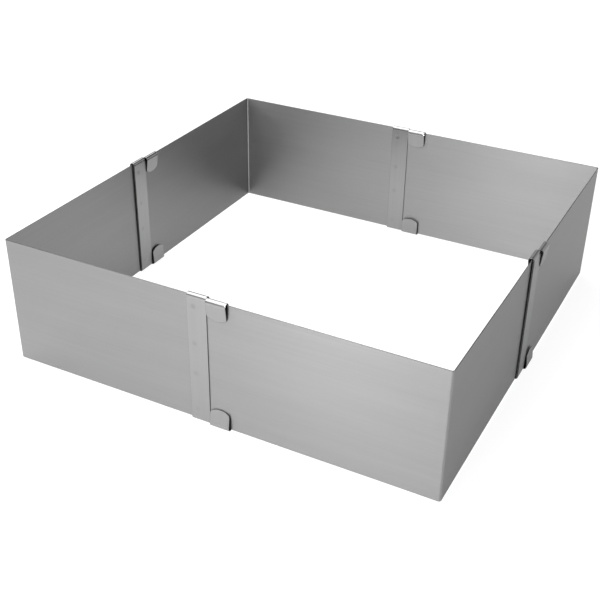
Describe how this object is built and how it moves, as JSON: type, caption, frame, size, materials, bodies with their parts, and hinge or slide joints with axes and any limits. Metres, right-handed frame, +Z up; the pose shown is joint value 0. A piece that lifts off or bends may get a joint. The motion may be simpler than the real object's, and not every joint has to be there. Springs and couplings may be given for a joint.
{
  "type": "adjustable cake frame",
  "caption": "Open square frame of bent steel corner sheets that overlap and slide in clips, to set the width and depth of a sheet cake.",
  "frame": {"origin": "centre of the frame in plan, on the surface that its clips rest on, with the frame drawn out to full size", "axes": "+Z up along the walls, +X to the right along the front wall, +Y from the front wall to the back wall"},
  "size_m": [0.2944, 0.2944, 0.0868],
  "materials": {
    "sheet_steel": "stainless sheet, brushed along the walls, not painted",
    "clip_steel": "stainless strip, a little smoother than the sheets"
  },
  "bodies": {
    "front_left": {"front_left_corner": "sheet_steel", "front_inner_clip": "clip_steel", "left_outer_clip": "clip_steel"},
    "front_right": {"front_right_corner": "sheet_steel", "front_outer_clip": "clip_steel", "right_inner_clip": "clip_steel"},
    "back_right": {"back_right_corner": "sheet_steel", "right_outer_clip": "clip_steel", "back_inner_clip": "clip_steel"},
    "back_left": {"back_left_corner": "sheet_steel", "back_outer_clip": "clip_steel", "left_inner_clip": "clip_steel"}
  },
  "joints": [
    {"name": "width_slide", "type": "slide", "parent": "front_left", "child": "front_right", "axis": [-1, 0, 0], "range_m": [0, 0.128]},
    {"name": "depth_slide_right", "type": "slide", "parent": "front_right", "child": "back_right", "axis": [0, -1, 0], "range_m": [0, 0.128]},
    {"name": "depth_slide_left", "type": "slide", "parent": "front_left", "child": "back_left", "axis": [0, -1, 0], "range_m": [0, 0.128]}
  ],
  "couplings": [
    {"joint": "depth_slide_left", "follows": "depth_slide_right", "ratio": 1}
  ]
}
